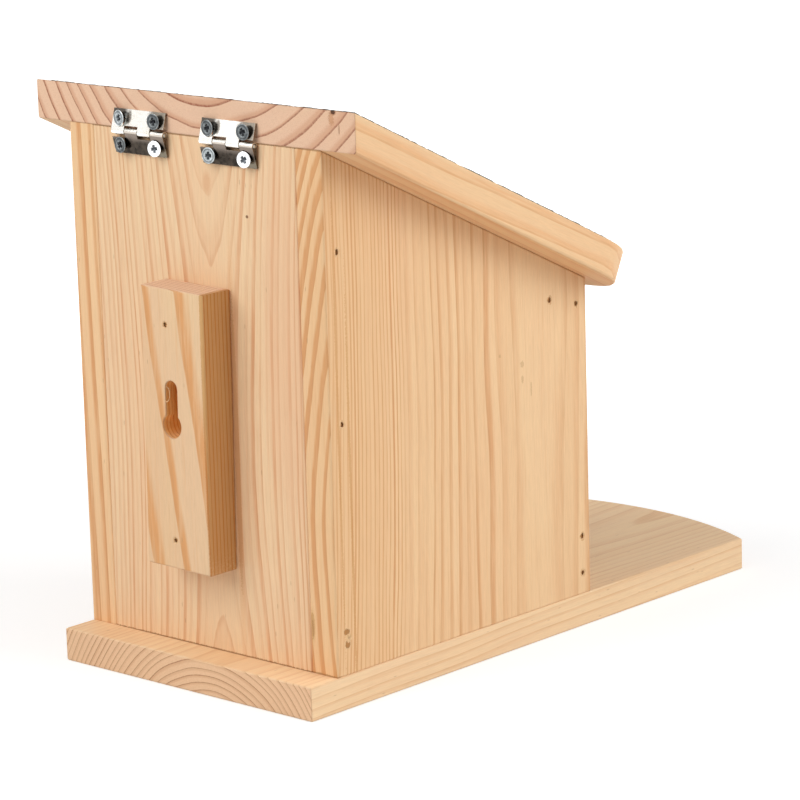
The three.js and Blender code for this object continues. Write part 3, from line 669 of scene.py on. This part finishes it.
def make_felt():
    """Mineral felt: crushed stone of several greys pressed into black bitumen"""
    material, nodes = new_material("roofing_felt")
    here = nodes.here()
    grit = nodes.add("ShaderNodeTexVoronoi", {"Vector": here, "Scale": 1500}).outputs
    luck = nodes.split_colour(grit["Color"])
    stone = nodes.blend(luck["Red"], (0.02, 0.019, 0.018), (0.115, 0.112, 0.105))
    stone = nodes.blend(nodes.sum("GREATER_THAN", luck["Green"], 0.93), stone, (0.26, 0.25, 0.23))
    bald = nodes.spread(nodes.noise(here, 120, 4, 0.65), 0.56, 0.72)
    tone = nodes.blend(nodes.times(bald, 0.8), stone, (0.016, 0.015, 0.014))
    edges = nodes.place("edges", Reach=0.0008, Raggedness=0.6)
    tone = nodes.blend(nodes.times(edges["Edge"], 0.7), tone, (0.014, 0.013, 0.012))
    height = nodes.times(nodes.minus(1, nodes.times(grit["Distance"], 0.8)), nodes.minus(1, nodes.times(bald, 0.7)))
    rough = nodes.ramp(luck["Blue"], 0, 1, 0.7, 1)
    finish_surface(nodes, tone, rough, height, 0.0003, Specular_IOR_Level=0.3)
    return material


def make_clear_acrylic():
    """Clear acrylic with faint rubbing marks and a little dust"""
    material, nodes = new_material("clear_acrylic")
    here = nodes.here()
    rubs = nodes.noise(here, 260, 4, 0.7, (0.2, 1, 1))
    dust = nodes.spread(nodes.noise(here, 60, 4, 0.6), 0.5, 0.8)
    rough = nodes.times_plus(dust, 0.1, nodes.spread(rubs, 0.5, 0.8, 0.02, 0.09))
    tone = nodes.blend(nodes.times(dust, 0.3), (0.97, 0.99, 0.99), (0.86, 0.87, 0.85))
    finish_surface(nodes, tone, rough, rubs, 0.000004, IOR=1.49, Transmission_Weight=1)
    return material


def make_torn_pine():
    """Torn pine fibres round a nail or along a cut edge"""
    material, nodes = new_material("torn_pine")
    fibres = nodes.noise(nodes.here(), 2600, 3, 0.6, (1, 1, 0.2))
    tone = nodes.blend(nodes.spread(fibres, 0.3, 0.7), (0.88, 0.6, 0.33), (0.66, 0.38, 0.17))
    finish_surface(nodes, tone, nodes.spread(fibres, 0, 1, 0.65, 0.9), fibres, 0.00008)
    return material


# Pieces

BOARD_ROUNDING, LEAF_ROUNDING, PANE_ROUNDING = 0.00016, 0.00009, 0.0003


def add_object(name, data):
    made = bpy.data.objects.new(name, data)
    scene.collection.objects.link(made)
    return made


def add_piece(name, mesh, body, material, replaces=()):
    mesh.materials.clear()
    mesh.materials.append(material)
    piece = add_object(name, mesh)
    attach(piece, body)
    if replaces:
        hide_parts(*replaces)
    return piece


def named(word):
    return [node for node in frame["nodes"] if word in node]


def body_of(node):
    """The name of the body that a CAD node rides on"""
    return next(name for name, empty in frame["bodies"].items() if frame["nodes"][node].parent == empty)


def clean_copy(node):
    """A copy of a CAD node's mesh with its flat faces whole again"""
    mesh = frame["nodes"][node].data.copy()
    bm = bmesh.new()
    bm.from_mesh(mesh)
    bmesh.ops.remove_doubles(bm, verts=bm.verts, dist=1e-7)
    bmesh.ops.dissolve_limit(bm, angle_limit=radians(0.6), verts=bm.verts, edges=bm.edges)
    for face in bm.faces:
        face.smooth = True
    bm.to_mesh(mesh)
    bm.free()
    return mesh


def finish_mesh(bm, name):
    mesh = bpy.data.meshes.new(name)
    bm.to_mesh(mesh)
    bm.free()
    return mesh


def bridge(bm, rings):
    """Joins each ring of points to the next one with smooth faces; a ring may be a single point"""
    steps = max(len(ring) for ring in rings)
    for low, high in zip(rings, rings[1:]):
        for i in range(steps):
            j = (i + 1) % steps
            corners = [low[i % len(low)], low[j % len(low)], high[j % len(high)], high[i % len(high)]]
            bm.faces.new(list(dict.fromkeys(corners))).smooth = True


def soften(piece, width, segments=3):
    """Rounds the sharp edges of a piece"""
    bevel = piece.modifiers.new("Rounded edges", "BEVEL")
    bevel.width = width
    bevel.segments = segments
    bevel.limit_method = "ANGLE"
    bevel.angle_limit = radians(28)
    bevel.harden_normals = True
    even = piece.modifiers.new("Flat faces", "WEIGHTED_NORMAL")
    even.keep_sharp = True


def seat(mesh, outward, carrier):
    """Lets a board down onto what carries it, which faces outward at the carrier's point"""
    for vertex in mesh.vertices:
        if (vertex.co - carrier).dot(outward) < SEAT_REACH:
            vertex.co -= outward * SEAT_DROP


def dress_boards():
    for node, looks in BOARDS.items():
        mesh = clean_copy(node)
        if node == "roof_board":
            seat(mesh, Vector((0, -sin(ROOF_PITCH), cos(ROOF_PITCH))), Vector((0, BACK_FACE, SEAM)))
        elif node == "hanging_block":
            seat(mesh, Vector((0, 1, 0)), Vector((0, BACK_FACE, 0)))
        piece = add_piece(f"{node}_pine", mesh, body_of(node), make_pine(node, **looks), [node])
        soften(piece, BOARD_ROUNDING)


RIM_SLACK = 0.00003  # within this of the farthest point from the tip, a point is on the head's rim


def driven_place(node):
    """Where a nail, tack or screw is, and its length in mm: its origin in the middle of its head's rim, its Z
    along it and outward"""
    points = {tuple(round(c, 6) for c in v.co) for v in frame["nodes"][node].data.vertices}
    points = [Vector(p) for p in points]
    middle = sum(points, Vector()) / len(points)
    tip = max(points, key=lambda p: (p - middle).length)
    reach = max((p - tip).length for p in points)
    rim = [p for p in points if (p - tip).length > reach - RIM_SLACK]
    head = sum(rim, Vector()) / len(rim)
    place = (head - tip).to_track_quat("Z", "Y").to_matrix().to_4x4()
    place.translation = head
    return place, (head - tip).length / MM


def turned_piece(name, node, profile, steps, place, material, shape=None):
    """A turned piece from (radius, height, shade) in millimetres, from its tip up to its head, where a low shade
    paints shade into its tone; shape may move each point and change its shade"""
    bm = bmesh.new()
    shade = bm.verts.layers.float.new("shade")
    rings = []
    for radius, height, tone in profile:
        ring = []
        for i in range(steps if radius > 0 else 1):
            angle = 2 * pi * i / steps
            spot = Vector((radius * cos(angle), radius * sin(angle), height))
            spot, point_tone = shape(spot, tone) if shape else (spot, tone)
            vertex = bm.verts.new(spot * MM)
            vertex[shade] = point_tone
            ring.append(vertex)
        rings.append(ring)
    bridge(bm, rings)
    bmesh.ops.transform(bm, matrix=place, verts=bm.verts)
    add_piece(name, finish_mesh(bm, name), body_of(node), material, [node])


# The cross recess in a screw's head, in mm: how long and half as wide its arms are, how much wider than that at
# the middle, how deep, and how far out from the middle it is cut
CROSS_ARM, CROSS_HALF, CROSS_FLARE, CROSS_DEPTH, CROSS_REACH = 1.35, 0.54, 0.26, 0.95, 2
HEAD_FLOOR = -0.6  # mm; a screw's head lies above this


def cross_recess(turn):
    """Sinks a tapered cross into a screw's head, with painted shade in it"""
    def shape(spot, tone):
        radius = hypot(spot.x, spot.y)
        if radius > CROSS_REACH or spot.z < HEAD_FLOOR:
            return spot, tone
        across = abs(spot.x * cos(turn) + spot.y * sin(turn))
        along = abs(spot.y * cos(turn) - spot.x * sin(turn))
        half = CROSS_HALF + CROSS_FLARE * max(0, 1 - radius / 0.8)
        outside = min(max(across - CROSS_ARM, along - half), max(along - CROSS_ARM, across - half))
        share = min(1, max(0, (0.07 - outside) / 0.17))
        share = share * share * (3 - 2 * share)
        deep = CROSS_DEPTH * (1 - radius / 2.6) * share
        # The recess is painted dark as its shade
        return Vector((spot.x, spot.y, spot.z - deep)), tone * (1 - share)
    return shape


THREAD_PITCH, THREAD_END = 0.6, -3.4  # mm
# The screws whose zinc is painted bright as a reflection, then those painted dark
PAINTED_BRIGHT_SCREWS = ("screw_lower_outer_left", "screw_lower_inner_right")
PAINTED_DARK_SCREWS = ("screw_upper_inner_left", "screw_upper_outer_left", "screw_upper_inner_right",
               "screw_lower_outer_right")


def dress_screws(metals):
    chance = random.Random(31)
    for node in named("screw_"):
        place, length = driven_place(node)
        # The threads, then the cone, the rim and the low dome of the head. The third value paints shade into the
        # thread roots, the underside and, but for the bright screws, the groove inside the rim
        profile = [(0, -length, 0.6)]
        thread = -length + 1.5
        while thread < THREAD_END:
            profile += [(0.85, thread, 0.2), (1.12, thread + 0.22, 1), (0.85, thread + 0.44, 0.2)]
            thread += THREAD_PITCH
        groove = 0.9 if node in PAINTED_BRIGHT_SCREWS else 0.25
        profile += [(0.95, -3, 0.5), (1.1, -1.9, 0.5), (2.66, -0.45, 0.5), (2.76, -0.38, 1), (2.8, -0.28, 1),
                    (2.79, -0.2, 1), (2.73, -0.135, 1), (2.6, -0.11, 1), (2.44, -0.12, 0.8), (2.26, -0.12, groove),
                    (2.12, -0.11, groove), (2, -0.09, 0.6), (1.9, -0.07, 0.8)]
        profile += [(0.12 * i, -0.018 * (0.12 * i) ** 2, 0.9 if i % 5 else 0.55) for i in range(15, 0, -1)]
        profile += [(0, 0, 0.8)]
        # The zinc of each screw, with its reflection painted in
        finish = "bright_" if node in PAINTED_BRIGHT_SCREWS else "dark_" if node in PAINTED_DARK_SCREWS else ""
        turned_piece(f"{node}_turned", node, profile, 72, place, metals[f"zinc_{finish}screw"],
                     cross_recess(chance.uniform(0, QUARTER)))


def dress_nails(metals):
    for node in named("nail"):
        place, length = driven_place(node)
        profile = [(0, -length, 0.5), (0.3, 0.5 - length, 1), (0.58, 1.25 - length, 1), (0.58, -1.1, 1),
                   (0.84, -0.72, 0.8), (0.9, -0.6, 1), (0.9, -0.16, 1), (0.84, -0.07, 1), (0.55, -0.03, 0.6),
                   (0.25, -0.09, 0.2), (0, -0.11, 0.1)]
        turned_piece(f"{node}_drawn", node, profile, 24, place, metals["nail_steel"])


DENT_SPREAD = 0.18  # square mm over which a hammer's dent fades


def dress_tacks(metals):
    chance = random.Random(12)
    for node in named("felt_tack"):
        place, length = driven_place(node)
        dents = [(chance.uniform(0, 6.3), chance.uniform(0.3, 1.7), chance.uniform(0.03, 0.09)) for _ in range(4)]

        def dented(spot, tone):
            if spot.z < -0.3:
                return spot, tone
            deep = 0
            for angle, out, depth in dents:
                off = (spot.x - out * cos(angle)) ** 2 + (spot.y - out * sin(angle)) ** 2
                deep += depth * exp(-off / DENT_SPREAD)
            # A dent is painted darker, as shade, the deeper it is
            return Vector((spot.x, spot.y, spot.z - deep)), tone - 4 * deep

        profile = [(0, -length, 0.5), (0.35, 0.6 - length, 1), (0.68, 1.25 - length, 1), (0.68, -0.62, 0.5),
                   (0.8, -0.5, 0.4), (2.3, -0.46, 0.3), (2.39, -0.4, 1), (2.4, -0.31, 1), (2.34, -0.22, 1)]
        profile += [(2.2 - 0.2 * i, -0.2 * ((2.2 - 0.2 * i) / 2.3) ** 2, 0.9) for i in range(11)] + [(0, 0, 0.9)]
        turned_piece(f"{node}_domed", node, profile, 40, place, metals["galvanised_tack"],
                     dented)


def dress_hinges(metals):
    for node in named("hinge_leaf"):
        leaf = add_piece(f"{node}_pressed", clean_copy(node), body_of(node),
                         make_leaf_nickel(node), [node])
        soften(leaf, LEAF_ROUNDING, segments=2)
    for node in named("hinge_pin"):
        low, high = (Vector(corner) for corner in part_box(node))
        half = (high.x - low.x) / 2 / MM
        place = Matrix.Rotation(QUARTER, 4, "Y")
        place.translation = (low + high) / 2
        ends = [(0, 0), (0.28, 0.03), (0.52, 0.12), (0.66, 0.24), (0.73, 0.4), (0.75, 0.6)]
        profile = [(r, -half + h, 1) for r, h in ends] + [(r, half - h, 1) for r, h in reversed(ends)]
        turned_piece(f"{node}_peened", node, profile, 32, place, metals["nickel_pin"])


FELT_POINTS = 560  # round its edge

# The felt from its cut edge inwards, in mm: (inset from the roof board's edge, height, how far it wanders)
FELT_ROWS = ((3.05, 0.04, 0), (3.05, 1, 0.22), (3.5, 1.04, 0.16), (4.6, 1.04, 0.1), (6.4, 1.02, 0.08),
             (9, 1.02, 0.07), (13, 1.02, 0.07), (18, 1.02, 0.07), (24, 1.02, 0.06))
FELT_RAGGED = 4  # the cut is ragged up to this inset
FELT_LOWEST, FELT_HIGHEST = 0.04, 1.1  # mm above the roof board


def roof_outline(inset):
    """Evenly spaced points round the felt, drawn in from the roof board's edge, in the roof's own frame"""
    half, corner = ROOF_HALF - inset, max(ROOF_CORNER - inset, 0.5)
    radius = (ROOF_HALF ** 2 + ROOF_BOW ** 2) / (2 * ROOF_BOW) - inset
    centre_y = inset - ROOF_REACH + radius
    corner_x = half - corner
    corner_y = centre_y - sqrt((radius - corner) ** 2 - corner_x ** 2)
    spread = asin(corner_x / (radius - corner))
    rear = ROOF_TOP * tan(ROOF_PITCH) - inset

    def arc(x, y, r, start, stop, steps):
        return [Vector((x + r * cos(start + (stop - start) * i / steps),
                        y + r * sin(start + (stop - start) * i / steps))) for i in range(steps + 1)]

    line = [Vector((-half, rear))]
    line += arc(-corner_x, corner_y, corner, -pi, -QUARTER - spread, 10)
    line += arc(0, centre_y, radius, -QUARTER - spread, -QUARTER + spread, 40)[1:-1]
    line += arc(corner_x, corner_y, corner, -QUARTER + spread, 0, 10)
    line += [Vector((half, rear)), Vector((-half, rear))]
    lengths = [0]
    for a, b in zip(line, line[1:]):
        lengths.append(lengths[-1] + (b - a).length)
    points, k = [], 0
    for i in range(FELT_POINTS):
        reached = lengths[-1] * i / FELT_POINTS
        while lengths[k + 1] < reached:
            k += 1
        share = (reached - lengths[k]) / (lengths[k + 1] - lengths[k])
        points.append(line[k].lerp(line[k + 1], share))
    return points


def dress_felt():
    """The felt as it was cut: its thin edge ragged, its sheet a little uneven over the board"""
    def wander(p, scale, seed):
        return noise.noise(Vector((p.x * scale, p.y * scale, seed)))

    bm = bmesh.new()
    middle = Vector((0, -ROOF_REACH / 2))
    rings = []
    for inset, height, uneven in FELT_ROWS:
        ring = []
        for p in roof_outline(inset):
            cut = 0.35 + 0.3 * wander(p, 0.9, 3) + 0.3 * wander(p, 0.23, 5) if inset < FELT_RAGGED else 0
            spot = p + (middle - p).normalized() * max(0, cut)
            lift = height + uneven * (wander(p, 0.75, 9) + 0.7 * wander(p, 0.2, 1))
            lift = min(FELT_HIGHEST, max(FELT_LOWEST, lift))
            ring.append(bm.verts.new(Vector((spot.x, spot.y, ROOF_TOP + lift)) * MM))
        rings.append(ring)
    bridge(bm, rings)
    bm.faces.new(rings[-1])
    bm.faces.new(list(reversed(rings[0])))
    slope = Matrix.Translation((0, BACK_FACE, SEAM)) @ Matrix.Rotation(ROOF_PITCH, 4, "X")
    bmesh.ops.transform(bm, matrix=slope, verts=bm.verts)
    mesh = finish_mesh(bm, "roof_felt_cut")
    add_piece("roof_felt_cut", mesh, "lid", make_felt(), ["roof_felt"])


# How far the wood has closed over some nails: the share of the opening left across and along the grain
NAIL_OPENINGS = {
    "nail_left_back_low": (0.25, 0.2), "block_nail_top": (0.8, 0.95), "block_nail_bottom": (0.75, 0.8),
}

# The torn rim of a nail hole from the face down to the head, in mm: (radius, height, how ragged, how far it rises)
RIM_ROWS = ((1.6, -0.03, 0.2, 0), (1.36, 0.03, 0.1, 0.04), (1.16, 0, 0.22, 0.08), (0.9, -0.22, 0.35, 0.05),
            (1.05, -0.55, 0, 0))
RIM_STEPS = 18
RIM_ABOVE_HEAD = 0.6  # mm from the head's rim up to the board's face


def nailed_board(node):
    """The board that a nail's head is in"""
    if node.startswith("block"):
        return "hanging_block"
    if node.startswith("floor"):
        return "floor_board"
    return "left_side" if "left" in node else "right_side"


def dress_torn_rims(material):
    """The wood that each nail pushed up and tore as it went in, one piece for each board"""
    chance = random.Random(77)
    boards = {}
    for node in named("nail"):
        boards.setdefault(nailed_board(node), []).append(node)
    for board, nodes in boards.items():
        bm = bmesh.new()
        # Nothing stands proud of the block's back or the floor's underside, where the part itself ends
        highest = 1 if board.endswith("side") else -0.004
        for node in nodes:
            place, _ = driven_place(node)
            outward = place.to_3x3() @ Vector((0, 0, 1))
            grain = Vector((0, 1, 0)) if abs(outward.z) > 0.5 else Vector((0, 0, 1))
            across = grain.cross(outward).normalized()
            grain = outward.cross(across)
            local = Matrix((across, grain, outward)).transposed().to_4x4()
            local.translation = place.translation + outward * RIM_ABOVE_HEAD * MM
            wide, tall = NAIL_OPENINGS.get(node, (chance.uniform(0.72, 0.95), chance.uniform(0.9, 1.08)))
            bumps = [chance.uniform(-1, 1) for _ in range(RIM_STEPS)]
            rings = []
            for radius, height, wild, rise in RIM_ROWS:
                opening = radius < 1.2 and height > -0.4
                size_x = radius * (wide if opening else 1)
                size_y = radius * (tall if opening else 1.15 if radius > 1.3 else 1)
                ring = []
                for i in range(RIM_STEPS):
                    angle = 2 * pi * i / RIM_STEPS
                    bump = bumps[i] * 0.7 + chance.uniform(-0.3, 0.3)
                    ragged = 1 + wild * bump
                    spot = Vector((size_x * ragged * cos(angle), size_y * ragged * sin(angle),
                                   min(highest, height + rise * bump)))
                    ring.append(bm.verts.new(local @ (spot * MM)))
                rings.append(ring)
            bridge(bm, rings)
        name = f"{board}_torn_rims"
        add_piece(name, finish_mesh(bm, name), body_of(board), material)


# Loose fibres, as (radius, points) in millimetres from the back face: a curl in the keyhole, splinters on the
# block's top corner and torn strokes beside its upper nail
LOOSE_FIBRES = [
    (0.13, [(3.8, 12.9, 107.4), (2.5, 13.1, 106.4), (2.1, 13.2, 104.6), (2.8, 13.2, 102.4), (4.1, 13.1, 101.9),
            (4.5, 12.9, 103.6), (4, 12.6, 105.8)]),
    (0.06, [(-14.2, 12.6, 141), (-15.4, 12.9, 142.6), (-16.9, 12.8, 143.7)]),
    (0.05, [(-13, 12.2, 141), (-14.6, 12.5, 143.4), (-15.2, 12.2, 145.2)]),
    (0.09, [(0.2, 13.22, 130.6), (-0.5, 13.25, 130), (-0.9, 13.22, 128.9)]),
    (0.08, [(-1, 13.22, 130.3), (-1.9, 13.25, 129.2), (-2.3, 13.22, 128)]),
    (0.08, [(-0.6, 13.22, 128.4), (-1.6, 13.25, 127.4), (-2.2, 13.22, 126.2)]),
    (0.07, [(-2.2, 13.22, 129), (-3.1, 13.25, 128), (-3.4, 13.22, 127)]),
]
FIBRE_TIP = 0.35  # share of its radius that a fibre has at its ends


def dress_loose_fibres(material):
    curve = bpy.data.curves.new("loose_fibres", "CURVE")
    curve.dimensions = "3D"
    curve.bevel_depth = MM
    curve.bevel_resolution = 2
    curve.resolution_u = 6
    for radius, points in LOOSE_FIBRES:
        strand = curve.splines.new("BEZIER")
        strand.bezier_points.add(len(points) - 1)
        for i, (point, (x, y, z)) in enumerate(zip(strand.bezier_points, points)):
            point.co = Vector((x * MM, y * MM + BACK_FACE, z * MM))
            point.handle_left_type = point.handle_right_type = "AUTO"
            point.radius = radius * (1 if 0 < i < len(points) - 1 else FIBRE_TIP)
    curve.materials.append(material)
    piece = add_object("loose_fibres", curve)
    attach(piece, "box")


def dress_pane():
    pane = add_piece("clear_pane_polished", clean_copy("clear_pane"), "box", make_clear_acrylic(),
                     ["clear_pane"])
    soften(pane, PANE_ROUNDING)


# Studio

def outward_from(turn, rise):
    """The way out from the part at a turn round it and a rise above the floor"""
    return Vector((sin(turn) * cos(rise), -cos(turn) * cos(rise), sin(rise)))


def aim_camera():
    back = outward_from(CAMERA_TURN, CAMERA_RISE)
    right = (-back).cross(Vector((0, 0, 1))).normalized()
    up = right.cross(-back)
    aim = AIM + right * AIM_SHIFT[0] + up * AIM_SHIFT[1]
    rolled_right = right * cos(CAMERA_ROLL) + up * sin(CAMERA_ROLL)
    rolled_up = up * cos(CAMERA_ROLL) - right * sin(CAMERA_ROLL)
    lens = bpy.data.cameras.new("camera")
    lens.lens = CAMERA_LENS
    lens.sensor_width = 36
    lens.clip_start, lens.clip_end = 0.01, 20
    camera = add_object("camera", lens)
    place = Matrix((rolled_right, rolled_up, back)).transposed().to_4x4()
    place.translation = aim + back * CAMERA_DISTANCE
    camera.matrix_world = place
    scene.camera = camera


def add_soft_light(name, turn, rise, size, power):
    """A square soft light that faces the middle of the part"""
    lamp = bpy.data.lights.new(name, "AREA")
    lamp.shape = "SQUARE"
    lamp.size = size
    lamp.energy = power
    light = add_object(name, lamp)
    away = outward_from(radians(turn), radians(rise))
    light.location = LIGHT_AIM + away * LIGHT_DISTANCE
    light.rotation_mode = "QUATERNION"
    light.rotation_quaternion = away.to_track_quat("Z", "Y")


def seen_rays(nodes):
    """1 for rays that show the background: from the camera, in a reflection or through the pane"""
    path = nodes.add("ShaderNodeLightPath").outputs
    seen = nodes.plus(path["Is Camera Ray"], path["Is Glossy Ray"])
    return nodes.sum("ADD", seen, path["Is Transmission Ray"], clamp=True)


def fill_with_air():
    """An even soft light from all round, which looks white where it is seen"""
    world = bpy.data.worlds.new("studio")
    world.use_nodes = True
    world.node_tree.nodes.clear()
    nodes = Nodes(world.node_tree)
    strength = nodes.between(seen_rays(nodes), AMBIENT, 1)
    air = nodes.add("ShaderNodeBackground", {"Color": (1, 1, 1, 1), "Strength": strength})
    nodes.add("ShaderNodeOutputWorld", {"Surface": air.outputs[0]})
    scene.world = world


def lay_floor():
    """A pale floor that looks white where nothing shades it; it glows less near the part, to keep its shadow"""
    material, nodes = new_material("pale_floor")
    far = nodes.spread(nodes.vector("LENGTH", nodes.here()), 0.18, 0.5, 0.45, 1)
    surface = nodes.add("ShaderNodeBsdfPrincipled", {
        "Base Color": (0.74, 0.74, 0.74), "Roughness": 0.9, "Specular IOR Level": 0,
        "Emission Color": (1, 1, 1), "Emission Strength": nodes.times(seen_rays(nodes), far),
    })
    nodes.add("ShaderNodeOutputMaterial", {"Surface": surface.outputs[0]})
    bm = bmesh.new()
    bmesh.ops.create_grid(bm, x_segments=1, y_segments=1, size=6)
    mesh = finish_mesh(bm, "floor")
    mesh.materials.append(material)
    floor = add_object("studio_floor", mesh)
    floor.location.z = -0.0001  # just clear of the floor board


def main():
    dress_boards()
    metals = {name: make_metal(name, **looks) for name, looks in METALS.items()}
    dress_hinges(metals)
    dress_screws(metals)
    dress_nails(metals)
    dress_tacks(metals)
    dress_felt()
    dress_pane()
    torn_pine = make_torn_pine()
    dress_torn_rims(torn_pine)
    dress_loose_fibres(torn_pine)
    aim_camera()
    fill_with_air()
    for light in LIGHTS:
        add_soft_light(*light)
    lay_floor()
    scene.view_settings.view_transform = "Standard"


main()
